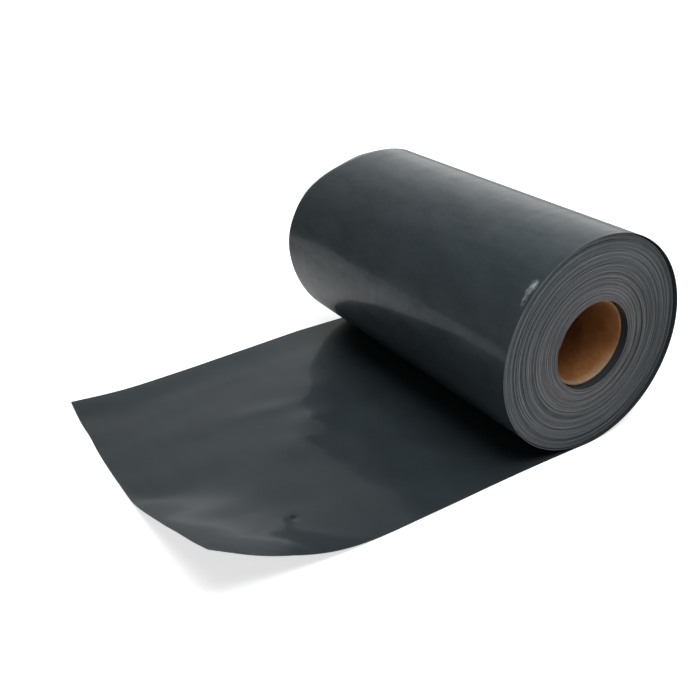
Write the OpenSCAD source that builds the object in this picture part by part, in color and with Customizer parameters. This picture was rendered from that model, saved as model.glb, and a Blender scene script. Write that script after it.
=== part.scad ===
// Roll of damp proof course lying on its side, with its last turn run out flat.
// Millimetres. +Z is up and the floor is z = 0. The roll's axis runs along Y, the loose end
// runs towards -X, and the origin is the centre of the part's footprint.

/* [Roll] */
// Width of the membrane, which is the length of the roll
roll_w = 300; // [150:1:600]
// Outer diameter of the wound roll
roll_d = 169; // [140:1:300]
// Distance from one turn to the next, the air between them included
turn_pitch = 0.63; // [0.4:0.01:2]
// Turns that share one step on the roll's ends
turns_per_step = 3; // [1:1:6]
// How far the inner turns have slid along the axis past the outermost one
telescope = 1.6; // [1:0.1:4]
// How far neighbouring steps wander from that slide
weave = 0.6; // [0:0.1:0.9]

/* [Membrane] */
// Thickness of the sheet
sheet_t = 0.5; // [0.3:0.1:2]

/* [Loose end] */
// Length that lies on the floor, measured from under the roll's axis
tail_len = 314; // [180:1:900]
// How far the middle of the cut end stands out past its corners
end_bow = 5.5; // [1:0.5:30]
// How much farther the front corner reaches than the middle, because the cut is out of square
end_slant = 4; // [0:0.5:10]
// Angle that the loose end makes with the roll, seen from above
tail_skew = 1.4; // [0:0.1:4]
// Length of the front edge that curls up off the floor
curl_len = 130; // [60:1:150]
// Length of the cut end that curls up with it
curl_width = 130; // [60:1:160]
// Radius of the bend where the curl starts
curl_r = 175; // [120:1:400]

/* [Core] */
// Outer diameter of the cardboard core
core_od = 68; // [40:1:100]
// Wall of the core
core_wall = 2; // [1:0.5:8]
// How far the core's ends lie inside the inner turns
core_recess = 5; // [3:0.5:20]
// Gap between the core and the first turn
core_gap = 0.1; // [0.05:0.05:0.5]

/* [Hidden] */
$fn = 96;

roll_r = roll_d / 2;
half_w = roll_w / 2;
bore_r = core_od / 2 + core_gap;

// Steps on the ends: the last one is the outermost turn alone
wound_r = roll_r - turn_pitch;
step_count = max(2, round((wound_r - bore_r) / (turn_pitch * turns_per_step)));
step_w = (wound_r - bore_r) / step_count;

// Golden angle, which never repeats a pattern from step to step
scatter = 137.5;

// The flat part of the loose end starts this far from under the axis, where it
// has already left the round of the roll
tail_root = 3;
bow_steps = 16;
curl_steps = 12;

// Radius at which a step starts, and how far that step has slid along the axis
function step_r(i) = bore_r + i * step_w;
function slide(i) = telescope + weave * sin(scatter * i);
slide_max = telescope + weave;

// Half section of the wound turns: each step is as wide as the membrane
section = concat(
    [for (i = [0 : step_count - 1]) each [[step_r(i), slide(i) - half_w], [step_r(i + 1), slide(i) - half_w]]],
    [[wound_r, -half_w], [roll_r, -half_w], [roll_r, half_w], [wound_r, half_w]],
    [for (i = [step_count - 1 : -1 : 0]) each [[step_r(i + 1), slide(i) + half_w], [step_r(i), slide(i) + half_w]]]
);

// The cut end is a shallow arc across the width, and slants a little
function end_x(y) = end_bow * pow(y / half_w, 2) + end_slant * y / half_w - tail_len;

// The curl is a cone: its tip lies on the cut end, and its rulings run to the front edge
tip_y = curl_width - half_w;
tip = [end_x(tip_y), tip_y, 0];
curl_x = end_x(-half_w) + curl_len;
function front_edge(s) = [curl_x - s, -half_w, pow(s, 2) / (2 * curl_r)];
front_points = [for (i = [0 : curl_steps]) front_edge(curl_len * i / curl_steps)];

flat_outline = concat(
    [[-tail_root, -half_w], [curl_x, -half_w]],
    [for (i = [0 : bow_steps]) let (y = tip_y + (half_w - tip_y) * i / bow_steps) [end_x(y), y]],
    [[-tail_root, half_w]]
);

// Footprint of the whole part, which puts the origin at its centre
function turned(p) = [p.x * cos(tail_skew) - p.y * sin(tail_skew), p.x * sin(tail_skew) + p.y * cos(tail_skew)];
floor_points = [for (p = concat(flat_outline, front_points)) turned(p)];
low = [min([for (p = floor_points) p.x]), min(-half_w, min([for (p = floor_points) p.y]))];
high = [roll_r, max(half_w + slide_max, max([for (p = floor_points) p.y]))];
centre = (low + high) / 2;

// Moves a shape whose roll axis is x = 0, y = 0 into the part's own frame
module placed() {
    translate([-centre.x, -centre.y, 0]) children();
}

// Stands a turned shape on its side, with its axis along Y at the roll's height
module on_axis() {
    translate([0, 0, roll_r]) rotate([-90, 0, 0]) children();
}

module wound_turns() {
    on_axis() rotate_extrude() polygon(section);
}

module flat_end() {
    linear_extrude(sheet_t) polygon(flat_outline);
}

// Triangles from the cone's tip to the front edge, with the sheet's thickness upright
module curled_corner() {
    under = concat([tip], front_points);
    over = [for (p = under) p + [0, 0, sheet_t]];
    n = len(under);
    polyhedron(
        points = concat(under, over),
        faces = concat(
            [for (i = [1 : n - 2]) [0, i, i + 1]],
            [for (i = [1 : n - 2]) [n, n + i + 1, n + i]],
            [for (i = [0 : n - 1]) let (j = (i + 1) % n) [i, n + i, n + j, j]]
        )
    );
}

module membrane() {
    color([0.19, 0.2, 0.21]) placed() {
        wound_turns();
        rotate([0, 0, tail_skew]) {
            flat_end();
            curled_corner();
        }
    }
}

module cardboard_core() {
    core_len = roll_w - 2 * core_recess;
    color([0.62, 0.46, 0.31]) placed() translate([0, telescope, 0]) on_axis() difference() {
        cylinder(d = core_od, h = core_len, center = true);
        cylinder(d = core_od - 2 * core_wall, h = core_len + 2, center = true);
    }
}

membrane();
cardboard_core();
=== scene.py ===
import math

import bmesh
import bpy
from mathutils import Matrix, Vector, noise


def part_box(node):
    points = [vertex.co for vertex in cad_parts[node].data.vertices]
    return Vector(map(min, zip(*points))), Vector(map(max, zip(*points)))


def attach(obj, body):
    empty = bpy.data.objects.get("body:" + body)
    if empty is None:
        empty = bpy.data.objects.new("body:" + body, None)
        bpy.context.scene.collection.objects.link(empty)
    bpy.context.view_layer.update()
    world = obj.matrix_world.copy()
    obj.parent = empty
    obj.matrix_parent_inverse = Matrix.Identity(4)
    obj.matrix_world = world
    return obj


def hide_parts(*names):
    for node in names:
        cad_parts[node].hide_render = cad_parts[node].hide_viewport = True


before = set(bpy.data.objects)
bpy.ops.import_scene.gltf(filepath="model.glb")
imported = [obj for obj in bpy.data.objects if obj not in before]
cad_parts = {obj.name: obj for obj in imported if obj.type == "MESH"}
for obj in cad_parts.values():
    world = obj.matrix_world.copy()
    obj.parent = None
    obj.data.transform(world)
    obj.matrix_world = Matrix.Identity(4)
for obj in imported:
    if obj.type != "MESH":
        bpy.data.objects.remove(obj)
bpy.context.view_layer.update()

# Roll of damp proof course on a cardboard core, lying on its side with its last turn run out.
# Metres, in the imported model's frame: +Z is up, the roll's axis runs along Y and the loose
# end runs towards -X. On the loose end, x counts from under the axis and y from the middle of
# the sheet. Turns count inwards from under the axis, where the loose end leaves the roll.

# ---------------------------------------------------------------- sizes

ROLL_LOW, ROLL_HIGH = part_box("membrane")
CORE_LOW, CORE_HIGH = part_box("cardboard_core")

# The core, and the roll round it
ROLL_R = (ROLL_HIGH.z - ROLL_LOW.z) / 2
CORE_R = (CORE_HIGH.z - CORE_LOW.z) / 2
CORE_WALL = 0.002
CORE_BORE_R = CORE_R - CORE_WALL
CORE_ROUNDING = 0.0005
CORE_ROUNDING_STEPS = 3
CORE_SIDES = 144
CORE_INSET = 0.005          # each end of the core, inside the sheet's width
CORE_GAP = 0.0001           # between the core and the first turn on it
CORE_SLIDE = 0.0016         # of the core along the axis, from the middle of the loose end
HALF_WIDTH = (CORE_HIGH.y - CORE_LOW.y) / 2 + CORE_INSET
AXIS_X = ROLL_HIGH.x - ROLL_R
AXIS_Z = ROLL_R
CORE_MIDDLE_Y = (CORE_LOW.y + CORE_HIGH.y) / 2
MIDDLE_Y = CORE_MIDDLE_Y - CORE_SLIDE

# The winding
SHEET_T = 0.0005
PITCH = 0.000626
AIR = PITCH - SHEET_T
LEAST_AIR = 0.00003
STEPS = 80                  # in a turn
LAP_R = ROLL_R - SHEET_T / 2
TURNS = (LAP_R - CORE_R - SHEET_T / 2 - CORE_GAP) / PITCH
TUCK = 0.11                 # of a turn, by which the last turn runs on under itself
FIRST_STEP = math.ceil((1 + TUCK) * STEPS)
GROOVE = 0.0024             # depth between the edges of two turns
BORE_SKIN = 0.001           # what lies this near the core is the sheet's inner face
MERGE = 1e-7
SEAM_MERGE = 1e-6
SLIVER = 2e-6

# Air between the turns. Bumps are (middle, reach, height), here with the first two in turns.
# UNEVEN_AIR's pairs are a share of AIR and a length in turns.
LAP_TURNS = 2
LAP_AIR = ((0.74, 0.15, 0.00085), (0.37, 0.13, 0.00075))
UNEVEN_AIR = ((0.75, 0.9), (0.5, 0.27))
PARTED_AIR = 0.00035
PARTED_ACROSS = 1.6
PARTED_SPAN = (0.25, 0.75)
PARTED_FROM = (2, 4)
EVENING_OUT = 0.12          # of a turn's drift from the even spiral, taken back by the next
EVENING_AT_CORE = 0.50
TIGHT_LEFT = (22, 9)        # turns left before the core

# How far the turns have slid along the axis
LAP_SLIDE = ((0.25, 0.16, -0.0009), (0.50, 0.12, -0.0004))
LAP_RETURN = 0.0009
LAP_RETURN_SPAN = (0.55, 0.95)
WOUND_FROM = (0.98, 1.25)
WOUND_SLIDE = 0.0019
CORE_TURNS_SLIDE = -0.0008
CORE_TURNS_LEFT = (22, 4)
LONG_DRIFT = 0.00036
LONG_DRIFT_TURNS = 3.1
RING_DRIFT = 0.00020
RING_DRIFT_ACROSS = 2.6
RIPPLE = 0.00014
RIPPLE_ACROSS = 1.1

# Noise: what brings it to about -1 to 1, and how far apart its rows are, so that none repeats
NOISE_GAIN = 1.9
RING_LOOP = 0.40
RING_ROWS = 5.1
WANDER_ROWS = (7.3, 0.37)

# The loose end, its cut edge and its far edge
TAIL_LENGTH = 0.314
TAIL_BOW = 0.0055
TAIL_SLANT = 0.004
TAIL_SKEW = math.radians(1.4)
TAIL_SKEW_SPAN = (0.02, 0.15)
CUT_BUMPS = ((0.088, 0.016, 0.0008), (0.048, 0.030, -0.0004))
CUT_STEP = -0.0007
CUT_STEP_SPAN = (0.060, 0.100)
FAR_BOW = 0.0062
FAR_BOW_START = 0.08
FAR_NIP = (-0.262, 0.050, 0.0056)
FAR_SIDE = (0.05, 0.15)
SHEET_COLUMNS = 340
SHEET_ROWS = 140

# The curled corner: a cone along the front edge, a flap nearer its tip on the cut end. The
# pairs are stretches of the way from the tip, at 0, to the front edge, at 1.
CURL_LENGTH = 0.117
CURL_TIP_Y = -0.021
CURL_R = 0.1425
CURL_BENT = 0.097
CURL_LEAD = 0.033
TIP_LEAD = 0.075
LEAD_FADE = 0.85
TIP_ROUNDING = 0.08
FLAP_TO_CONE = (0.35, 0.80)
FLAP_START = -0.056
FLAP_BULGE = 0.060
FLAP_BULGE_FADE = (0.22, 0.48)
FLAP_HEIGHT = 0.0475
FLAP_EASE = 0.034
TIP_EASE = 0.140
TIP_EASE_FADE = (0.05, 0.40)
FLAP_POWER = 1.15
CONE_SIDE_POWER = 0.60
CONE_SIDE_GROWTH = (0.30, 0.60)
CLEAR_OF_ROLL = (0.08, 0.18)    # this one in metres along the loose end

# The small buckle behind the curled corner. It widens ahead of its top, so FOLD_STEP and
# FOLD_FALL are distances to the side over the distance ahead.
FOLD_X = -0.2305
FOLD_Y = -0.1001
FOLD_RISE = 0.037
FOLD_TOP = Vector((FOLD_X - 0.0044, FOLD_Y + 0.0060))
FOLD_STEP = (-0.60, 0.40)
FOLD_FALL = (0.4, 2.4)
PINCH_DEPTH = 0.0011
PINCH_REACH = 0.0035

# Soft bumps in the loose end: middle and reach along x, middle and reach across, height
SOFT_BUMPS = {
    "rise by the roll": (-0.100, 0.040, 0.050, 0.055, 0.0018),
    "pad": (-0.150, 0.022, -0.001, 0.016, 0.0019),
    "outer pad": (-0.184, 0.020, -0.023, 0.018, 0.0014),
    "hollow": (-0.152, 0.018, -0.044, 0.016, -0.0005),
    "knuckle": (-0.118, 0.017, 0.038, 0.018, 0.0010),
    "front": (-0.136, 0.034, -0.110, 0.036, 0.0010),
}
CREASE_BEND = (-0.174, 0.028, 0.00075)
CREASE_Y = 0.03686
CREASE_REACH = 0.0100
CREASE_SLANT = 0.14
WAVE_HEIGHT = 0.00045
WAVE_LENGTH = 0.055
WAVE_WIDTH = 0.030
WAVES_FROM = (0.06, 0.14)
LAP_WAVE_HEIGHT = 0.00014
LAP_WAVE_LENGTH = 0.045
LAP_WAVE_WIDTH = 0.085

# What else lifts off the floor: heights, and the stretches over which each one grows
FAR_CORNER_LIFT = 0.0005
FAR_CORNER_ALONG = (0.20, 0.31)
FAR_CORNER_ACROSS = (0.06, 0.15)
FAR_EDGE_LIFT = 0.0010
FAR_EDGE_ALONG = (0.06, 0.12)
FAR_EDGE_ACROSS = (0.112, 0.150)
FLAT_LIFT = 0.0002
MIDDLE_LIFT = (-0.020, 0.080, 0.0006)
LIFT_ALONG = (0.07, 0.15)

# The far rim, pressed in on top and fuller at the side; angles are in degrees off the top
SAG_START = 0.124
SAG_ROUND = 0.005
SAG_SLOPE = 0.30
SAG_SIDE_SLOPE = 0.008
SAG_MIDDLE = 2
SAG_SPREAD = 38
SAG_SHARPNESS = 2.4
SAG_LEAST_ANGLE = 6
SAG_MOST_ANGLE = 40
SWELL_START = 0.070
SWELL_GROWTH = 2.6
SWELL_MIDDLE = 10
SWELL_ANGLE = (72, 21, 0.0026)
RIM_CUTS = (SWELL_START, 0.100, SAG_START, 0.127, 0.130, 0.136, 0.143)

SHARP_ANGLE = math.radians(35)
FACING = 0.5                # a face points along a line if its normal's share of it is more

# The sheet's materials, in the order that each mesh carries them
OUTSIDE, SLIT_EDGE, INSIDE = range(3)


# ---------------------------------------------------------------- helpers

def part_way(value, low, high):
    """How far a value lies from low to high, held at 0 and 1."""
    return min(max((value - low) / (high - low), 0.0), 1.0)


def smooth(value, low, high):
    """0 below low, 1 above high, and a smooth step between them."""
    t = part_way(value, low, high)
    return t * t * (3 - 2 * t)


def hump(value, middle, reach, height=1.0):
    """A bump of that height at the middle, falling smoothly to nothing."""
    return height * math.exp(-((value - middle) / reach) ** 2)


def rounded(value, ease):
    """The value where it is above 0 and nothing below, with the corner eased."""
    return (value + math.hypot(value, ease)) / 2


def rings(turn, across, row):
    """Noise whose features are that many turns across and about half a turn long."""
    angle = 2 * math.pi * turn
    x = RING_LOOP * math.cos(angle)
    y = RING_LOOP * math.sin(angle) + RING_ROWS * row
    return NOISE_GAIN * noise.noise(Vector((x, y, turn / across)))


def wander(place, length, row):
    """Smooth noise from about -1 to 1 along the sheet, with features of that length."""
    return NOISE_GAIN * noise.noise(Vector((place / length, *(row * gap for gap in WANDER_ROWS))))


def from_axis(place):
    """Distance of a point from the roll's axis."""
    return math.hypot(place.x - AXIS_X, place.z - AXIS_Z)


def finished(name, bm, materials, stands_for):
    """Makes the mesh an object that stands for a CAD node."""
    mesh = bpy.data.meshes.new(name)
    bm.to_mesh(mesh)
    bm.free()
    for material in materials:
        mesh.materials.append(material)
    piece = bpy.data.objects.new(name, mesh)
    bpy.context.scene.collection.objects.link(piece)
    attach(piece, "root")
    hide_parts(stands_for)


def shade(bm):
    """Smooth faces, with a crisp edge wherever the surface turns sharply."""
    for face in bm.faces:
        face.smooth = True
    for edge in bm.edges:
        edge.smooth = edge.calc_face_angle(math.pi) < SHARP_ANGLE


# ---------------------------------------------------------------- the winding

def air_under(turn):
    """Air between the sheet and the turn outside it."""
    if turn < LAP_TURNS:
        return AIR + sum(hump(turn % 1.0, *bump) for bump in LAP_AIR)
    uneven = sum(
        share * wander(turn, length, row) for row, (share, length) in enumerate(UNEVEN_AIR, 1)
    )
    parted = PARTED_AIR * smooth(rings(turn, PARTED_ACROSS, 3), *PARTED_SPAN)
    return AIR * (1 + uneven) + parted * smooth(turn, *PARTED_FROM)


def edge_slide(turn):
    """How far the sheet has moved along the axis at this turn."""
    lap = sum(hump(turn, *bump) for bump in LAP_SLIDE)
    lap += LAP_RETURN * smooth(turn, *LAP_RETURN_SPAN)
    wound = WOUND_SLIDE + CORE_TURNS_SLIDE * smooth(turn, *(TURNS - n for n in CORE_TURNS_LEFT))
    wound += LONG_DRIFT * wander(turn, LONG_DRIFT_TURNS, 4)
    wound += RING_DRIFT * rings(turn, RING_DRIFT_ACROSS, 5)
    wound += RIPPLE * rings(turn, RIPPLE_ACROSS, 6)
    inner = smooth(turn, *WOUND_FROM)
    return lap * (1 - inner) + wound * inner


def winding():
    """Radius of the sheet's middle at each step from the loose end's root to the core."""
    radii = []
    for i in range(math.floor(TURNS * STEPS) + 1):
        turn = i / STEPS
        nominal = LAP_R - PITCH * turn
        if turn <= 1:
            radii.append(nominal)
            continue
        outer = radii[i - STEPS]
        tight = smooth(turn, *(TURNS - n for n in TIGHT_LEFT))
        evening = EVENING_OUT + EVENING_AT_CORE * tight
        drawn_back = evening * (outer - (nominal + PITCH)) if turn > LAP_TURNS else 0
        air = air_under(turn) * (1 - tight) + AIR * tight
        radii.append(outer - SHEET_T - max(air + drawn_back, LEAST_AIR))
    return radii


RADII = winding()


def radius_at(turn):
    """Radius of the sheet's middle between two steps of the winding."""
    step = turn * STEPS
    i = math.floor(step)
    return RADII[i] + (RADII[i + 1] - RADII[i]) * (step - i)


def on_roll(turn, radius, y):
    """A point on the roll; turns run from under the axis up the +X side."""
    angle = 2 * math.pi * turn
    x = AXIS_X + radius * math.sin(angle)
    z = AXIS_Z - radius * math.cos(angle)
    return Vector((x, MIDDLE_Y + y, z))


def press(far, angle):
    """How far the sheet is pressed in, this far from the middle and at this angle off the top."""
    off_top = abs(angle - SAG_MIDDLE)
    fades = 1 - math.exp(-(off_top / SAG_SPREAD) ** SAG_SHARPNESS)
    start = SAG_START + (HALF_WIDTH - SAG_START) * fades
    past = max(far - start, 0)
    if past < SAG_ROUND:
        drop = past ** 2 / (2 * SAG_ROUND)
    else:
        drop = past - SAG_ROUND / 2
    turned = min(math.hypot(off_top, SAG_LEAST_ANGLE), SAG_MOST_ANGLE)
    return drop * (SAG_SLOPE + SAG_SIDE_SLOPE * turned)


def sag(place):
    """Lets the far end of the roll settle: its rim pressed in on top, fuller at the side."""
    reach = from_axis(place)
    far = place.y - MIDDLE_Y
    if far <= SWELL_START:
        return place
    angle = math.degrees(math.atan2(AXIS_X - place.x, place.z - AXIS_Z))
    share = (reach - CORE_R) / (ROLL_R - CORE_R)
    swell = ((far - SWELL_START) / (HALF_WIDTH - SWELL_START)) ** SWELL_GROWTH
    swell *= hump(abs(angle - SWELL_MIDDLE), *SWELL_ANGLE)
    scale = (reach + (swell - press(far, angle)) * share) / reach
    x = AXIS_X + (place.x - AXIS_X) * scale
    z = AXIS_Z + (place.z - AXIS_Z) * scale
    return Vector((x, place.y, z))


def wound_end(bm, side):
    """One end of the winding: the sheet's edge as a spiral ridge with a groove beside it.

    Rows 0 and 1 are the two sides of the edge, 2 and 3 the groove's floor, and 4 is the near
    side of the next turn out, which is that turn's own row 0.
    """
    columns = len(RADII) - 1 - FIRST_STEP
    grid = bmesh.ops.create_grid(bm, x_segments=columns, y_segments=4, size=0.5)
    step_of = bm.verts.layers.int["step"]
    row_of = bm.verts.layers.int["row"]
    for vert in grid["verts"]:
        step = FIRST_STEP + round((vert.co.x + 0.5) * columns)
        row = round((vert.co.y + 0.5) * 4)
        vert[step_of] = step
        vert[row_of] = row
        outer = step - STEPS
        radius = RADII[outer if row > 2 else step]
        radius += SHEET_T / 2 if row in (1, 2) else -SHEET_T / 2
        depth = GROOVE if row in (2, 3) else 0
        slid = edge_slide((outer if row == 4 else step) / STEPS)
        vert.co = on_roll(step / STEPS, radius, side * (HALF_WIDTH - depth) + slid)


def wound_ends(bm):
    """Both ends of the winding, without the groove outside its own outermost turn."""
    step_of = bm.verts.layers.int.new("step")
    row_of = bm.verts.layers.int.new("row")
    for side in (-1, 1):
        wound_end(bm, side)
    outside = [
        face for face in bm.faces
        if min(v[step_of] for v in face.verts) < FIRST_STEP + STEPS
        and max(v[row_of] for v in face.verts) > 1
    ]
    bmesh.ops.delete(bm, geom=outside, context="FACES")
    for face in bm.faces:
        on_ridge = max(v[row_of] for v in face.verts) == 1
        face.material_index = SLIT_EDGE if on_ridge else OUTSIDE
    bmesh.ops.remove_doubles(bm, verts=bm.verts[:], dist=MERGE)


def join_ends(bm):
    """The outside and the bore of the winding, rim to rim, with edges where the far rim bends."""
    rims = [edge for edge in bm.edges if edge.is_boundary]
    wall_r = (RADII[FIRST_STEP] + CORE_R) / 2
    for outer in (True, False):
        loop = [edge for edge in rims if (from_axis(edge.verts[0].co) > wall_r) == outer]
        bmesh.ops.bridge_loops(bm, edges=loop)
    for y in RIM_CUTS:
        geom = bm.verts[:] + bm.edges[:] + bm.faces[:]
        cut_at = (0, MIDDLE_Y + y, 0)
        bmesh.ops.bisect_plane(bm, geom=geom, plane_co=cut_at, plane_no=(0, 1, 0))
    bmesh.ops.dissolve_degenerate(bm, dist=SLIVER, edges=bm.edges[:])


def wound_turns(materials):
    """All the turns under the last one, as one body whose ends show the spiral of the sheet."""
    bm = bmesh.new()
    wound_ends(bm)
    join_ends(bm)
    for vert in bm.verts:
        vert.co = sag(vert.co)
    bmesh.ops.recalc_face_normals(bm, faces=bm.faces[:])
    bm.normal_update()
    for face in bm.faces:
        if abs(face.normal.y) < FACING:
            in_bore = from_axis(face.verts[0].co) < CORE_R + BORE_SKIN
            face.material_index = INSIDE if in_bore else OUTSIDE
    shade(bm)
    finished("wound_turns", bm, materials, "membrane")


# ---------------------------------------------------------------- the loose end

def end_x(y):
    """Where the cut end lies at this place across the sheet."""
    across = y / HALF_WIDTH
    uneven = sum(hump(y, *bump) for bump in CUT_BUMPS) + CUT_STEP * smooth(y, *CUT_STEP_SPAN)
    return TAIL_BOW * across ** 2 + TAIL_SLANT * across - TAIL_LENGTH + uneven


def cone_rise(past, front):
    """The curl at the front: a lead-in, then a steady bend, then straight near the end."""
    lead = CURL_LEAD + TIP_LEAD * (1 - front)
    if past <= -lead:
        return 0.0
    if past < lead:
        return (past + lead) ** 3 / (12 * lead * CURL_R)
    bent = min(past, CURL_BENT)
    straight = bent * max(past - CURL_BENT, 0)
    eased = lead ** 2 / 6 * (1 - LEAD_FADE * smooth(past, lead, CURL_LENGTH))
    return (bent ** 2 / 2 + eased + straight) / CURL_R


def flap_rise(past, end, front):
    """The same corner nearer its tip, where it is a nearly flat flap."""
    start = FLAP_START - FLAP_BULGE * (1 - smooth(front, *FLAP_BULGE_FADE))
    ease = FLAP_EASE + TIP_EASE * (1 - smooth(front, *TIP_EASE_FADE))
    share = rounded(past - start, ease) / rounded(end - start, ease)
    power = FLAP_POWER + CONE_SIDE_POWER * smooth(front, *CONE_SIDE_GROWTH)
    return FLAP_HEIGHT * share ** power


def curl_height(x, y):
    """The front corner lifts along lines that fan out from a tip on the cut end."""
    front = rounded((CURL_TIP_Y - y) / (CURL_TIP_Y + HALF_WIDTH), TIP_ROUNDING)
    tip_x = end_x(CURL_TIP_Y)
    start_x = end_x(-HALF_WIDTH) + CURL_LENGTH
    past = start_x - tip_x - (x - tip_x) / front
    flat = 1 - smooth(front, *FLAP_TO_CONE)
    cone = cone_rise(past, front) * (1 - flat)
    flap = flap_rise(past, start_x - tip_x, front) * flat * smooth(-x, *CLEAR_OF_ROLL)
    return front * (cone + flap)


def fold_height(x, y):
    """A small buckle: from a pinched point the sheet steps up towards the curled corner."""
    ahead = FOLD_TOP.y - y
    if ahead <= 0:
        return 0.0
    beside = (FOLD_TOP.x - x) / ahead
    step = part_way(beside, *FOLD_STEP) ** 2
    return FOLD_RISE * ahead * (step - smooth(beside, *FOLD_FALL))


def slack(x, y):
    """Gentle bumps, a crease and fine waves that stay in the sheet, and the buckle's pinched point."""
    bumps = sum(
        hump(x, middle_x, reach_x) * hump(y, middle_y, reach_y, height)
        for middle_x, reach_x, middle_y, reach_y, height in SOFT_BUMPS.values()
    )
    slanted = y + CREASE_SLANT * (x - CREASE_BEND[0])
    crease = hump(slanted, CREASE_Y, CREASE_REACH) * hump(x, *CREASE_BEND)
    waves = WAVE_HEIGHT * noise.noise(Vector((x / WAVE_LENGTH, y / WAVE_WIDTH, 2.7)))
    pinch = hump(math.hypot(x - FOLD_X, y - FOLD_Y), 0, PINCH_REACH, PINCH_DEPTH)
    return bumps + crease + waves * smooth(-x, *WAVES_FROM) - pinch


def tail_height(x, y):
    """Height of the sheet's middle over the floor, where it lies flat or lifts a little."""
    lift = (FLAT_LIFT + hump(y, *MIDDLE_LIFT)) * smooth(-x, *LIFT_ALONG)
    lift += FAR_CORNER_LIFT * smooth(-x, *FAR_CORNER_ALONG) * smooth(y, *FAR_CORNER_ACROSS)
    lift += FAR_EDGE_LIFT * smooth(-x, *FAR_EDGE_ALONG) * smooth(y, *FAR_EDGE_ACROSS)
    total = curl_height(x, y) + fold_height(x, y) + lift + slack(x, y)
    return SHEET_T / 2 + max(total, 0.0)


def on_tail(along, y):
    """A point on the loose end; along is 0 under the roll and 1 at the cut end."""
    x = along * end_x(y)
    z = tail_height(x, y)
    bow = FAR_BOW * math.sin(math.pi * part_way(-x, FAR_BOW_START, TAIL_LENGTH))
    y -= smooth(y, *FAR_SIDE) * (bow + hump(x, *FAR_NIP))
    turned = TAIL_SKEW * smooth(-x, *TAIL_SKEW_SPAN)
    east = x * math.cos(turned) - y * math.sin(turned)
    north = x * math.sin(turned) + y * math.cos(turned)
    return Vector((AXIS_X + east, MIDDLE_Y + north, z))


def on_lap(place, y):
    """A point on the last turn; place is the length of sheet from under the axis."""
    turn = place / (2 * math.pi * LAP_R)
    wave = noise.noise(Vector((place / LAP_WAVE_LENGTH, y / LAP_WAVE_WIDTH, 4.1)))
    wave *= LAP_WAVE_HEIGHT
    return sag(on_roll(turn, radius_at(turn) + wave, y + edge_slide(turn)))


def loose_sheet(materials):
    """The last turn and the loose end in one piece, its start tucked under itself.

    The sheet attribute keeps each point's place on the flat sheet, for the patterns to follow.
    """
    length = TAIL_LENGTH + 2 * math.pi * LAP_R * (1 + TUCK)
    bm = bmesh.new()
    flat = bm.verts.layers.float_vector.new("sheet")
    bmesh.ops.create_grid(bm, x_segments=SHEET_COLUMNS, y_segments=SHEET_ROWS, size=0.5)
    for vert in bm.verts:
        place = (vert.co.x + 0.5) * length - TAIL_LENGTH
        y = 2 * HALF_WIDTH * vert.co.y
        vert[flat] = (place, y, 0)
        vert.co = on_tail(-place / TAIL_LENGTH, y) if place < 0 else on_lap(place, y)
    bm.normal_update()
    inward = bm.verts.layers.float_vector.new("inward")
    for vert in bm.verts:
        vert[inward] = vert.normal
        vert.co += vert.normal * SHEET_T / 2
    bmesh.ops.solidify(bm, geom=bm.faces[:], thickness=SHEET_T)
    bmesh.ops.recalc_face_normals(bm, faces=bm.faces[:])
    shade(bm)
    for face in bm.faces:
        facing = face.normal.dot(face.verts[0][inward])
        if abs(facing) > FACING:
            face.material_index = INSIDE if facing > 0 else OUTSIDE
        else:
            face.material_index = SLIT_EDGE
    bm.verts.layers.float_vector.remove(inward)
    finished("loose_sheet", bm, materials, "membrane")


# ---------------------------------------------------------------- the core

def core_tube(materials):
    """The cardboard tube, its cut ends softly rounded."""
    bm = bmesh.new()
    wall = bmesh.ops.create_grid(bm, x_segments=1, y_segments=1, size=0.5)
    length = CORE_HIGH.y - CORE_LOW.y
    for vert in wall["verts"]:
        radius = CORE_BORE_R + CORE_WALL * (vert.co.x + 0.5)
        vert.co = (AXIS_X + radius, CORE_MIDDLE_Y + length * vert.co.y, AXIS_Z)
    bmesh.ops.bevel(bm, geom=bm.verts[:], offset=CORE_ROUNDING, segments=CORE_ROUNDING_STEPS,
                    profile=0.5, affect="VERTICES", material=-1)
    bmesh.ops.delete(bm, geom=bm.faces[:], context="FACES_ONLY")
    bmesh.ops.spin(bm, geom=bm.verts[:] + bm.edges[:], cent=(AXIS_X, CORE_MIDDLE_Y, AXIS_Z),
                   axis=(0, 1, 0), dvec=(0, 0, 0), angle=2 * math.pi, steps=CORE_SIDES,
                   use_merge=True)
    bmesh.ops.remove_doubles(bm, verts=bm.verts[:], dist=SEAM_MERGE)
    bmesh.ops.recalc_face_normals(bm, faces=bm.faces[:])
    shade(bm)
    finished("core_tube", bm, materials, "cardboard_core")


# ---------------------------------------------------------------- colours and finishes

# Polyethylene: the two sides of the sheet. A SPAN is the stretch of noise or distance over
# which a ramp runs, and four numbers are a ramp's span and what it gives at either end.
OUTER_FINISH = dict(
    tones=((0.0235, 0.0310, 0.0345, 1), (0.0290, 0.0375, 0.0415, 1)),
    gloss=0.37,
    haze=0.32,
    smudging=0.45,
)
INNER_FINISH = dict(
    tones=((0.0200, 0.0262, 0.0292, 1), (0.0245, 0.0318, 0.0352, 1)),
    gloss=0.26,
    haze=0.13,
    smudging=0.10,
)
GLOSS_TINT = (0.72, 0.92, 1.0, 1)
GLOSS_ROUGHNESS = (0.07, 0.13)
GLOSS_SPREAD = (1.2, 0.8)
HAZE_SPAN = (0.36, 0.64)
HAZE_ROUGHNESS = (0.329, 0.378)
CLOUDS = dict(scale=22, detail=4, roughness=0.55)
DRAWN_LINES = dict(stretch=(6, 260, 1), detail=3, roughness=0.6)
RUBBING = dict(stretch=(60, 18, 1), detail=5, roughness=0.65)
SMUDGES = dict(stretch=(58, 24, 1), detail=5, roughness=0.66)
FINE_GRAIN = dict(scale=650, detail=2, roughness=0.5)
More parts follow.
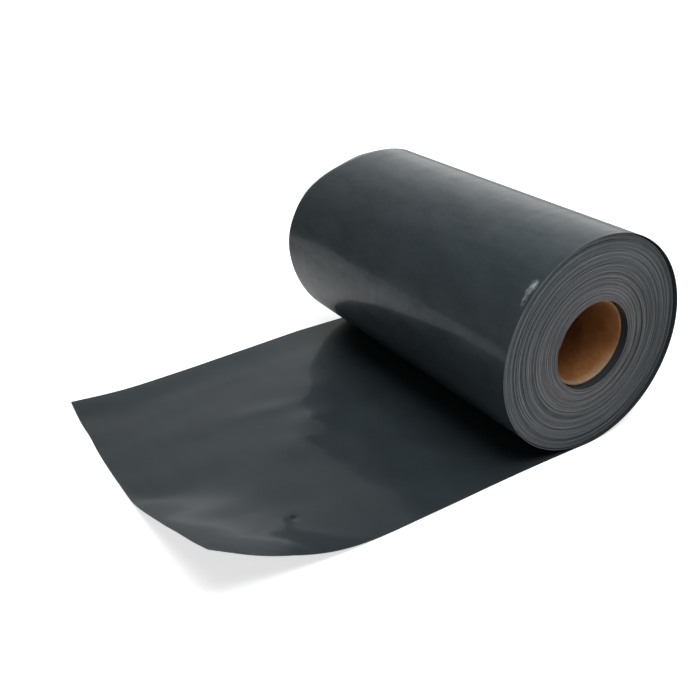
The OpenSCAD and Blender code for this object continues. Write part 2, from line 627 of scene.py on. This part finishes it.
NOISE_SPAN = (0.38, 0.62)
TONE_SPAN = (0.35, 0.65)
FACE_RELIEF = 0.00006
GRAIN_SHARE = 0.25
DRAWN_SHARE = 0.5
RUBBED_SHARE = 0.9

# Pale marks on the near rim: degrees from the top towards the loose end's side, place across
# the sheet, length and strength
RIM_PALE = (0.30, 0.32, 0.33, 1)
RIM_PALE_MARKS = (
    (44.0, -0.1453, 0.0056, 1.0),
    (46.6, -0.1447, 0.0052, 0.72),
    (51.0, -0.1452, 0.0042, 0.50),
    (53.5, -0.1460, 0.0036, 0.28),
)
RIM_PALE_SQUEEZE = 1.5
RIM_PALE_GRAIN = dict(stretch=(260, 420, 1), detail=4, roughness=0.65)
RIM_PALE_BREAKS = (0.38, 0.58, 0.2, 1.0)
RIM_PALE_SPAN = (0.04, 0.70)
RIM_PALE_GLOSS = 0.2

# Wear on the inside: gloss along its edges and at the handled corner, and painted shade in the buckle's
# pinch
BOTH_EDGES_GLOSS = (0.112, 0.140, 1.0, 0.72)
FAR_EDGE_GLOSS = (0.108, 0.140, 1.0, 0.60)
HANDLED_REACH = 0.110
HANDLED_GLOSS = (0.0, 0.6, 1.0, 1.34)
# Painted shade in the buckle's pinch, and how much duller it is there
PINCH_SHADE_PLACE = (FOLD_X + 0.0008, FOLD_Y + 0.0014, 0)
PINCH_SHADE_REACH = 0.0030
PINCH_SHADE_SPAN = (0.0, 0.5)
PINCH_SHADE_GLOSS = 0.3

# The slit edge of the sheet on the roll's ends, with painted light and shade on it
# Painted shade, for the right of the outermost rim and the buckle's pinch
DEEP_SHADE = (0.012, 0.014, 0.015, 1)
RIM_SHADE_FROM = 0.0013
RIM_SHADE_FULL = 0.0009
RIM_RIGHT_SIDE = (-0.10, 0.20, 0, 0.85)
# Soil, and painted shade for the lower right and the dark rings
EDGE_SOIL_AND_SHADE = (0.034, 0.038, 0.041, 1)
EDGE_MIDDLE = (0.091, 0.102, 0.110, 1)
# Painted light, for the lit top of the end face and the bright rings
EDGE_PAINTED_LIGHT = (0.270, 0.285, 0.300, 1)
# Painted reflection of the brown core, near the bore
EDGE_CORE_REFLECTION = (0.114, 0.111, 0.118, 1)
EDGE_CORE_REFLECTION_SPAN = (0.064, 0.040)
EDGE_ROUGHNESS = 0.5
EDGE_SPECULAR = 0.3
BANDS = dict(around=0.6, across=0.0090, detail=3, roughness=0.55)
BAND_SOIL = (0.50, 0.30, 0, 0.25)
DIRT = dict(scale=90, detail=4, roughness=0.6)
DIRT_SOIL = (0.5, 0.75, 0, 0.25)
# Painted shade towards the lower right of the end face
LOW_RIGHT_TILT = 0.15
LOW_RIGHT_SHADE = (0.30, 1.00, 0, 0.42)
# Painted light on the top of the end face
TOP_PAINTED_LIGHT = (0.50, 1.00, 0, 0.13)

# Rings on the slit edge, painted shadow and painted highlight of the steps between turns: middle and
# reach as shares of the gap between rings, and a ramp
LINE_GAP = 0.0026
LINE_WAVER = dict(around=0.45, across=0.016, detail=1, roughness=0.4)
LINE_WAVER_GAPS = 2.4
LINE_BREAKS = dict(around=1.1, across=0.0034, detail=2, roughness=0.5)
# Painted shadow lines, then painted highlight lines
PAINTED_SHADOW_LINE = (0.22, 0.16)
PAINTED_SHADOW_LINE_SHOWN = (0.44, 0.60, 0, 0.68)
PAINTED_HIGHLIGHT_LINE = (0.52, 0.18)
PAINTED_HIGHLIGHT_LINE_SHOWN = (0.44, 0.60, 0, 0.64)

# Tube board
KRAFT_DARK = (0.190, 0.073, 0.018, 1)
KRAFT_LIGHT = (0.300, 0.123, 0.032, 1)
KRAFT_PALE = (0.315, 0.235, 0.155, 1)
KRAFT_ROUGHNESS = 0.6
KRAFT_RELIEF = 0.0001
KRAFT_CLOUDS = dict(scale=60, detail=5, roughness=0.6)
KRAFT_CLOUD_SHARE = 0.6
FIBRE = dict(scale=700, detail=3, roughness=0.6)
FIBRE_SQUEEZE = (1, 0.25, 1)
FIBRE_SHARE = 0.4
CUT_FADE = 0.0075
CUT_LOW = (-0.012, -0.032, 0.15, 1.0)
CUT_BREAKS = (0.3, 0.6, 0.5, 1.0)
PLY_LEAD = 0.150
SEAM_SPAN = (0.006, 0.001)
SEAM_STRENGTH = 0.3


# ---------------------------------------------------------------- shader helpers

def node(tree, kind, **settings):
    """A new node of that kind with its settings."""
    made = tree.nodes.new(kind)
    for name, value in settings.items():
        setattr(made, name, value)
    return made


def blank(name):
    """A material with only its Principled shader and output."""
    material = bpy.data.materials.new(name)
    material.use_nodes = True
    tree = material.node_tree
    shader = tree.nodes["Principled BSDF"]
    return material, tree, shader


def object_coords(tree):
    """The piece's own coordinates, which are the frame's."""
    return node(tree, "ShaderNodeTexCoord").outputs["Object"]


def placed(tree, vector, location=(0, 0, 0), scale=(1, 1, 1)):
    """Coordinates scaled and then moved."""
    made = node(tree, "ShaderNodeMapping")
    made.inputs["Location"].default_value = location
    made.inputs["Scale"].default_value = scale
    tree.links.new(vector, made.inputs["Vector"])
    return made.outputs["Vector"]


def split(tree, vector):
    """The X, Y and Z of a vector."""
    made = node(tree, "ShaderNodeSeparateXYZ")
    tree.links.new(vector, made.inputs[0])
    return made.outputs["X"], made.outputs["Y"], made.outputs["Z"]


def noise_of(tree, vector, scale, detail, roughness):
    """Noise from 0 to 1, with about that many features to a metre."""
    made = node(tree, "ShaderNodeTexNoise")
    made.inputs["Scale"].default_value = scale
    made.inputs["Detail"].default_value = detail
    made.inputs["Roughness"].default_value = roughness
    tree.links.new(vector, made.inputs["Vector"])
    return made.outputs["Fac"]


def stretched_noise(tree, vector, stretch, detail, roughness):
    """Noise with its own number of features to a metre along each direction."""
    return noise_of(tree, placed(tree, vector, scale=stretch), 1, detail, roughness)


def ramp(tree, value, start, end, low=0.0, high=1.0):
    """Maps a value from one range to another, held at both ends."""
    made = node(tree, "ShaderNodeMapRange")
    made.inputs["From Min"].default_value = start
    made.inputs["From Max"].default_value = end
    made.inputs["To Min"].default_value = low
    made.inputs["To Max"].default_value = high
    tree.links.new(value, made.inputs["Value"])
    return made.outputs["Result"]


def worked(tree, operation, first, second=0.0):
    """One step of arithmetic on two values, either of which may be a plain number."""
    made = node(tree, "ShaderNodeMath", operation=operation)
    for socket, value in zip(made.inputs, (first, second)):
        if isinstance(value, (int, float)):
            socket.default_value = value
        else:
            tree.links.new(value, socket)
    return made.outputs[0]


def plus(tree, first, second):
    """Two values added."""
    return worked(tree, "ADD", first, second)


def times(tree, first, second):
    """Two values multiplied."""
    return worked(tree, "MULTIPLY", first, second)


def blend(tree, factor, first, second):
    """A mix of two colours, each given as numbers or as a socket."""
    made = node(tree, "ShaderNodeMix", data_type="RGBA")
    tree.links.new(factor, made.inputs["Factor"])
    for socket, colour in ((made.inputs["A"], first), (made.inputs["B"], second)):
        if isinstance(colour, tuple):
            socket.default_value = colour
        else:
            tree.links.new(colour, socket)
    return made.outputs["Result"]


def spot(tree, vector, place, reach):
    """1 at a place, falling to nothing at that distance from it."""
    made = node(tree, "ShaderNodeVectorMath", operation="DISTANCE")
    made.inputs[1].default_value = place
    tree.links.new(vector, made.inputs[0])
    return ramp(tree, made.outputs["Value"], reach, 0.0)


def stripe(tree, value, middle, reach):
    """1 where a value is at the middle, falling to 0 at that distance from it."""
    away = worked(tree, "ABSOLUTE", worked(tree, "SUBTRACT", value, middle))
    return ramp(tree, away, reach, 0.0)


def relief(tree, height, distance):
    """The normal of a surface whose height varies by that distance."""
    made = node(tree, "ShaderNodeBump")
    made.inputs["Distance"].default_value = distance
    tree.links.new(height, made.inputs["Height"])
    return made.outputs["Normal"]


# ---------------------------------------------------------------- the sheet's faces

def pale_rim_marks(tree, sheet):
    """Where the rim of the last turn is paler, in a few grainy marks."""
    total = None
    for degrees, y, length, strength in RIM_PALE_MARKS:
        along = 2 * math.pi * LAP_R * (0.5 + degrees / 360)
        scale = (1 / length, RIM_PALE_SQUEEZE / length, 0)
        shift = (-along / length, -RIM_PALE_SQUEEZE * y / length, 0)
        whole = spot(tree, placed(tree, sheet, shift, scale), (0, 0, 0), 1)
        mark = times(tree, whole, strength)
        total = mark if total is None else worked(tree, "MAXIMUM", total, mark)
    grain = stretched_noise(tree, sheet, **RIM_PALE_GRAIN)
    return ramp(tree, times(tree, total, ramp(tree, grain, *RIM_PALE_BREAKS)), *RIM_PALE_SPAN)


def with_pale_rim_marks(tree, sheet, tone, gloss):
    """The outside of the sheet: pale and dull in a few marks on the rim."""
    pale_share = pale_rim_marks(tree, sheet)
    tone = blend(tree, pale_share, tone, RIM_PALE)
    return tone, times(tree, gloss, ramp(tree, pale_share, 0, 1, 1, RIM_PALE_GLOSS))


def handled_end(tree, sheet, tone, gloss):
    """Wear on the inside: dull along the edges, glossy at the handled corner, painted shade in the
    buckle's pinch.
    """
    _, y, _ = split(tree, sheet)
    gloss = times(tree, gloss, ramp(tree, worked(tree, "ABSOLUTE", y), *BOTH_EDGES_GLOSS))
    gloss = times(tree, gloss, ramp(tree, y, *FAR_EDGE_GLOSS))
    handled = spot(tree, sheet, (-TAIL_LENGTH, -HALF_WIDTH, 0), HANDLED_REACH)
    gloss = times(tree, gloss, ramp(tree, handled, *HANDLED_GLOSS))
    # Painted shade in the buckle's pinch, duller too
    pinch_shade = ramp(tree, spot(tree, sheet, PINCH_SHADE_PLACE, PINCH_SHADE_REACH), *PINCH_SHADE_SPAN)
    tone = blend(tree, pinch_shade, tone, DEEP_SHADE)
    return tone, times(tree, gloss, ramp(tree, pinch_shade, 0, 1, 1, PINCH_SHADE_GLOSS))


def membrane_face(name, wear_and_shade, tones, gloss, haze, smudging):
    """Smooth extruded polyethylene: near black, a crisp gloss over a soft haze, a little uneven."""
    material, tree, shader = blank(name)
    link = tree.links.new
    coords = object_coords(tree)
    sheet = node(tree, "ShaderNodeAttribute", attribute_name="sheet").outputs["Vector"]
    cloud = noise_of(tree, coords, **CLOUDS)
    drawn = stretched_noise(tree, sheet, **DRAWN_LINES)
    rubbed = stretched_noise(tree, sheet, **RUBBING)
    smudged = stretched_noise(tree, sheet, **SMUDGES)
    uneven = times(tree, plus(tree, cloud, rubbed), 0.5)

    high, low = (gloss * spread for spread in GLOSS_SPREAD)
    streaks = ramp(tree, drawn, *NOISE_SPAN, 1 + smudging / 2, 1 - smudging / 2)
    coat = times(tree, ramp(tree, uneven, *NOISE_SPAN, high, low), streaks)
    mist = times(tree, ramp(tree, smudged, *NOISE_SPAN, 1 - smudging, 1 + smudging), haze)
    tone = blend(tree, ramp(tree, cloud, *TONE_SPAN), *tones)
    tone, coat = wear_and_shade(tree, sheet, tone, coat)
    link(tone, shader.inputs["Base Color"])
    link(coat, shader.inputs["Coat Weight"])
    link(ramp(tree, uneven, *NOISE_SPAN, *GLOSS_ROUGHNESS), shader.inputs["Coat Roughness"])
    link(mist, shader.inputs["Specular IOR Level"])
    link(ramp(tree, smudged, *HAZE_SPAN, *HAZE_ROUGHNESS), shader.inputs["Roughness"])
    shader.inputs["Specular Tint"].default_value = GLOSS_TINT

    grain = times(tree, noise_of(tree, coords, **FINE_GRAIN), GRAIN_SHARE)
    height = plus(tree, grain, times(tree, drawn, DRAWN_SHARE))
    height = plus(tree, height, times(tree, rubbed, RUBBED_SHARE))
    normal = relief(tree, height, FACE_RELIEF)
    link(normal, shader.inputs["Normal"])
    link(normal, shader.inputs["Coat Normal"])
    return material


# ---------------------------------------------------------------- the sheet's slit edge

def about_axis(tree, coords):
    """Distance from the roll's axis, and the X and Z of the direction away from it."""
    flat = node(tree, "ShaderNodeVectorMath", operation="MULTIPLY")
    flat.inputs[1].default_value = (1, 0, 1)
    tree.links.new(placed(tree, coords, location=(-AXIS_X, 0, -AXIS_Z)), flat.inputs[0])
    length = node(tree, "ShaderNodeVectorMath", operation="LENGTH")
    tree.links.new(flat.outputs["Vector"], length.inputs[0])
    away = node(tree, "ShaderNodeVectorMath", operation="NORMALIZE")
    tree.links.new(flat.outputs["Vector"], away.inputs[0])
    x, _, z = split(tree, away.outputs["Vector"])
    return length.outputs["Value"], x, z


def ring_noise(tree, reach, x, z, around, across, detail, roughness):
    """Noise that runs slowly round the roll and fast from turn to turn."""
    made = node(tree, "ShaderNodeCombineXYZ")
    tree.links.new(times(tree, x, around), made.inputs["X"])
    tree.links.new(times(tree, z, around), made.inputs["Y"])
    tree.links.new(times(tree, reach, 1 / across), made.inputs["Z"])
    return noise_of(tree, made.outputs["Vector"], 1, detail, roughness)


def edge_soil_and_shade(tree, coords, reach, x, z):
    """The edge's tone without its rings: a painted reflection of the core near the bore, soiled in
    bands, painted shade on the lower right and painted light on top.
    """
    bands = ring_noise(tree, reach, x, z, **BANDS)
    dirt = noise_of(tree, coords, **DIRT)
    lower_right_shade = worked(tree, "SUBTRACT", x, times(tree, z, LOW_RIGHT_TILT))
    # Painted reflection of the brown core near the bore
    tone = blend(tree, ramp(tree, reach, *EDGE_CORE_REFLECTION_SPAN), EDGE_MIDDLE, EDGE_CORE_REFLECTION)
    tone = blend(tree, ramp(tree, bands, *BAND_SOIL), tone, EDGE_SOIL_AND_SHADE)
    tone = blend(tree, ramp(tree, dirt, *DIRT_SOIL), tone, EDGE_SOIL_AND_SHADE)
    # Painted shade towards the lower right
    tone = blend(tree, ramp(tree, lower_right_shade, *LOW_RIGHT_SHADE), tone, EDGE_SOIL_AND_SHADE)
    # Painted light on the top of the end face
    return blend(tree, ramp(tree, z, *TOP_PAINTED_LIGHT), tone, EDGE_PAINTED_LIGHT)


def painted_ring_light(tree, tone, reach, x, z):
    """Fine rings of painted shadow and painted highlight where turns stand out from one another, fading
    in and out.
    """
    waver = times(tree, ring_noise(tree, reach, x, z, **LINE_WAVER), LINE_WAVER_GAPS)
    shown = ring_noise(tree, reach, x, z, **LINE_BREAKS)
    place = worked(tree, "FRACT", plus(tree, times(tree, reach, 1 / LINE_GAP), waver))
    # The dark rings are painted shadow, the bright ones painted highlight
    dark = times(tree, stripe(tree, place, *PAINTED_SHADOW_LINE), ramp(tree, shown, *PAINTED_SHADOW_LINE_SHOWN))
    bright = times(tree, stripe(tree, place, *PAINTED_HIGHLIGHT_LINE), ramp(tree, shown, *PAINTED_HIGHLIGHT_LINE_SHOWN))
    return blend(tree, bright, blend(tree, dark, tone, EDGE_SOIL_AND_SHADE), EDGE_PAINTED_LIGHT)


def membrane_edge():
    """The slit edge of the sheet: rougher and paler than its faces, no two turns quite alike, and
    painted shade on the right of the outermost rim.
    """
    material, tree, shader = blank("membrane_edge")
    coords = object_coords(tree)
    reach, x, z = about_axis(tree, coords)
    tone = painted_ring_light(tree, edge_soil_and_shade(tree, coords, reach, x, z), reach, x, z)
    # Painted shade on the right of the outermost rim
    at_rim = ramp(tree, reach, ROLL_R - RIM_SHADE_FROM, ROLL_R - RIM_SHADE_FULL)
    rim = times(tree, at_rim, ramp(tree, x, *RIM_RIGHT_SIDE))
    tree.links.new(blend(tree, rim, tone, DEEP_SHADE), shader.inputs["Base Color"])
    shader.inputs["Roughness"].default_value = EDGE_ROUGHNESS
    shader.inputs["Specular IOR Level"].default_value = EDGE_SPECULAR
    return material


# ---------------------------------------------------------------- the core's board

def ply_seam(tree, x, y, z):
    """1 on the slanting seam between two plies of the tube."""
    round_share = times(tree, worked(tree, "ARCTAN2", x, z), 1 / (2 * math.pi))
    slant = plus(tree, round_share, times(tree, y, 1 / PLY_LEAD))
    away = worked(tree, "SUBTRACT", worked(tree, "FRACT", slant), 0.5)
    return ramp(tree, worked(tree, "ABSOLUTE", away), *SEAM_SPAN)


def kraft_board():
    """Brown tube board: wound plies with a slanting seam, paler low down where the end is cut."""
    material, tree, shader = blank("kraft_board")
    coords = object_coords(tree)
    x, y, z = split(tree, placed(tree, coords, location=(-AXIS_X, 0, -AXIS_Z)))
    seam = ply_seam(tree, x, y, z)
    cloud = noise_of(tree, coords, **KRAFT_CLOUDS)
    fibre = noise_of(tree, placed(tree, coords, scale=FIBRE_SQUEEZE), **FIBRE)
    mixed = plus(tree, times(tree, cloud, KRAFT_CLOUD_SHARE), times(tree, fibre, FIBRE_SHARE))
    near_cut = ramp(tree, y, CORE_LOW.y + CUT_FADE, CORE_LOW.y)
    low_cut = times(tree, near_cut, ramp(tree, z, *CUT_LOW))
    pale_low_patch = times(tree, low_cut, ramp(tree, fibre, *CUT_BREAKS))
    tone = blend(tree, ramp(tree, mixed, *NOISE_SPAN), KRAFT_DARK, KRAFT_LIGHT)
    # Paler towards the bottom at the near end, broken up by the fibre
    tone = blend(tree, pale_low_patch, tone, KRAFT_PALE)
    tone = blend(tree, times(tree, seam, SEAM_STRENGTH), tone, KRAFT_DARK)
    normal = relief(tree, worked(tree, "SUBTRACT", mixed, seam), KRAFT_RELIEF)
    tree.links.new(tone, shader.inputs["Base Color"])
    tree.links.new(normal, shader.inputs["Normal"])
    shader.inputs["Roughness"].default_value = KRAFT_ROUGHNESS
    return material


# ---------------------------------------------------------------- floor, light and camera

FLOOR_LEFT_X = AXIS_X - 0.634
FLOOR_RIGHT_X = AXIS_X + 4
FLOOR_DEPTH = 9
FLOOR_MIDDLE_Y = 1.0
FLOOR_TONE = (0.77, 0.77, 0.77, 1)
FLOOR_ROUGHNESS = 0.9
FLOOR_SPECULAR = 0.1
FLOOR_LIT_PLACE = (AXIS_X - 0.1, MIDDLE_Y, 0)
FLOOR_LIT_REACH = 1.3
FLOOR_BOOST = (0.35, 0.75, 0.69, 1.0)

# The world's soft lights, each a ramp on how far a direction points its way
GLOW = Vector((0.650, 0.730, 0.208))
WIDE_GLOW = (0.35, 1.0, 0.0, 0.92)
TIGHT_GLOW = (0.80, 1.0, 0.0, 0.42)
LEFT_GLOW = (0.0, -1.0, 0.0, 0.25)
SKY_GLOW = (0.4, 1.0, 0.0, 0.04)
FRONT_GLOW = (0.1, -0.5, 0.0, 0.13)

# Softboxes: place, what they point at, width and height, watts
FRONT_PLACE = (AXIS_X - 0.08, MIDDLE_Y - 0.36, 0.50)
FRONT_TARGET = (AXIS_X, MIDDLE_Y - HALF_WIDTH, AXIS_Z)
FRONT_SIZE = (0.30, 0.30)
FRONT_POWER = 0.85
OVERHEAD_PLACE = (AXIS_X - 0.10, MIDDLE_Y - 0.35, 1.7)
OVERHEAD_TARGET = (AXIS_X, MIDDLE_Y, 0.05)
OVERHEAD_SIZE = (1.3, 1.3)
OVERHEAD_POWER = 27

# The camera: yaw from +Y towards +X, pitch and roll in degrees, and its lens in millimetres
CAMERA_PLACE = Vector((AXIS_X - 0.4468, MIDDLE_Y - 0.5556, 0.3878))
CAMERA_TURNS = (30.87, -27.40, -2.08)
CAMERA_LENS = 46.74
CAMERA_SENSOR = 36
CAMERA_CLIPS = (0.01, 50)


def white_to_camera(tree, shader_out):
    """Adds light that only the camera sees, so that the lit floor reads as white."""
    near = spot(tree, object_coords(tree), FLOOR_LIT_PLACE, FLOOR_LIT_REACH)
    extra = ramp(tree, worked(tree, "SUBTRACT", 1.0, near), *FLOOR_BOOST)
    path = node(tree, "ShaderNodeLightPath")
    glow = node(tree, "ShaderNodeEmission")
    tree.links.new(times(tree, path.outputs["Is Camera Ray"], extra), glow.inputs["Strength"])
    total = node(tree, "ShaderNodeAddShader")
    tree.links.new(shader_out, total.inputs[0])
    tree.links.new(glow.outputs[0], total.inputs[1])
    return total.outputs[0]


def floor_paper():
    """Matt white paper."""
    material, tree, shader = blank("floor_paper")
    shader.inputs["Base Color"].default_value = FLOOR_TONE
    shader.inputs["Roughness"].default_value = FLOOR_ROUGHNESS
    shader.inputs["Specular IOR Level"].default_value = FLOOR_SPECULAR
    out = tree.nodes["Material Output"]
    tree.links.new(white_to_camera(tree, shader.outputs[0]), out.inputs["Surface"])
    return material


def make_floor():
    """A plain flat floor that ends a little way past the loose end."""
    bm = bmesh.new()
    bmesh.ops.create_grid(bm, x_segments=1, y_segments=1, size=0.5)
    for vert in bm.verts:
        x = FLOOR_LEFT_X if vert.co.x < 0 else FLOOR_RIGHT_X
        vert.co = (x, vert.co.y * FLOOR_DEPTH + FLOOR_MIDDLE_Y, 0)
    mesh = bpy.data.meshes.new("floor")
    bm.to_mesh(mesh)
    bm.free()
    mesh.materials.append(floor_paper())
    floor = bpy.data.objects.new("floor", mesh)
    bpy.context.scene.collection.objects.link(floor)


def world_glow(tree):
    """A soft glow behind the roll on its right, and weaker light from the left, above and the front."""
    direction = node(tree, "ShaderNodeTexCoord").outputs["Generated"]
    towards = node(tree, "ShaderNodeVectorMath", operation="DOT_PRODUCT")
    towards.inputs[1].default_value = GLOW.normalized()
    tree.links.new(direction, towards.inputs[0])
    near_glow = towards.outputs["Value"]
    x, y, z = split(tree, direction)
    total = ramp(tree, near_glow, *WIDE_GLOW)
    total = plus(tree, total, ramp(tree, near_glow, *TIGHT_GLOW))
    total = plus(tree, total, ramp(tree, x, *LEFT_GLOW))
    total = plus(tree, total, ramp(tree, z, *SKY_GLOW))
    return plus(tree, total, ramp(tree, y, *FRONT_GLOW))


def make_world():
    """White to the camera, and the studio's soft glow to everything else."""
    world = bpy.data.worlds.new("studio")
    bpy.context.scene.world = world
    world.use_nodes = True
    tree = world.node_tree
    tree.nodes.clear()
    path = node(tree, "ShaderNodeLightPath")
    seen = node(tree, "ShaderNodeMix", data_type="FLOAT")
    tree.links.new(path.outputs["Is Camera Ray"], seen.inputs["Factor"])
    tree.links.new(world_glow(tree), seen.inputs["A"])
    seen.inputs["B"].default_value = 1.0
    back = node(tree, "ShaderNodeBackground")
    tree.links.new(seen.outputs["Result"], back.inputs["Strength"])
    out = node(tree, "ShaderNodeOutputWorld")
    tree.links.new(back.outputs[0], out.inputs["Surface"])


def softbox(name, place, target, size, power):
    """A rectangular lamp that points at its target."""
    lamp = bpy.data.lights.new(name, "AREA")
    lamp.shape = "RECTANGLE"
    lamp.size, lamp.size_y = size
    lamp.energy = power
    stand = bpy.data.objects.new(name, lamp)
    bpy.context.scene.collection.objects.link(stand)
    stand.location = place
    stand.rotation_euler = (Vector(target) - Vector(place)).to_track_quat("-Z", "Y").to_euler()


def make_camera():
    """A camera in front of the roll and to its left, looking down on it."""
    yaw, pitch, roll = (math.radians(angle) for angle in CAMERA_TURNS)
    level_ahead = Vector((math.sin(yaw), math.cos(yaw), 0))
    ahead = math.cos(pitch) * level_ahead + Vector((0, 0, math.sin(pitch)))
    level_right = Vector((math.cos(yaw), -math.sin(yaw), 0))
    level_up = level_right.cross(ahead)
    right = math.cos(roll) * level_right + math.sin(roll) * level_up
    up = right.cross(ahead)
    camera = bpy.data.objects.new("camera", bpy.data.cameras.new("camera"))
    bpy.context.scene.collection.objects.link(camera)
    camera.data.sensor_width = CAMERA_SENSOR
    camera.data.lens = CAMERA_LENS
    camera.data.clip_start, camera.data.clip_end = CAMERA_CLIPS
    turned = Matrix((right, up, -ahead)).transposed().to_4x4()
    camera.matrix_world = Matrix.Translation(CAMERA_PLACE) @ turned
    bpy.context.scene.camera = camera


# ---------------------------------------------------------------- the scene

make_camera()
make_world()
make_floor()
softbox("front_softbox", FRONT_PLACE, FRONT_TARGET, FRONT_SIZE, FRONT_POWER)
softbox("overhead_softbox", OVERHEAD_PLACE, OVERHEAD_TARGET, OVERHEAD_SIZE, OVERHEAD_POWER)

OUTER = membrane_face("membrane_outer", with_pale_rim_marks, **OUTER_FINISH)
INNER = membrane_face("membrane_inner", handled_end, **INNER_FINISH)
SHEET_MATERIALS = (OUTER, membrane_edge(), INNER)
wound_turns(SHEET_MATERIALS)
loose_sheet(SHEET_MATERIALS)
core_tube((kraft_board(),))

bpy.context.scene.view_settings.view_transform = "Standard"
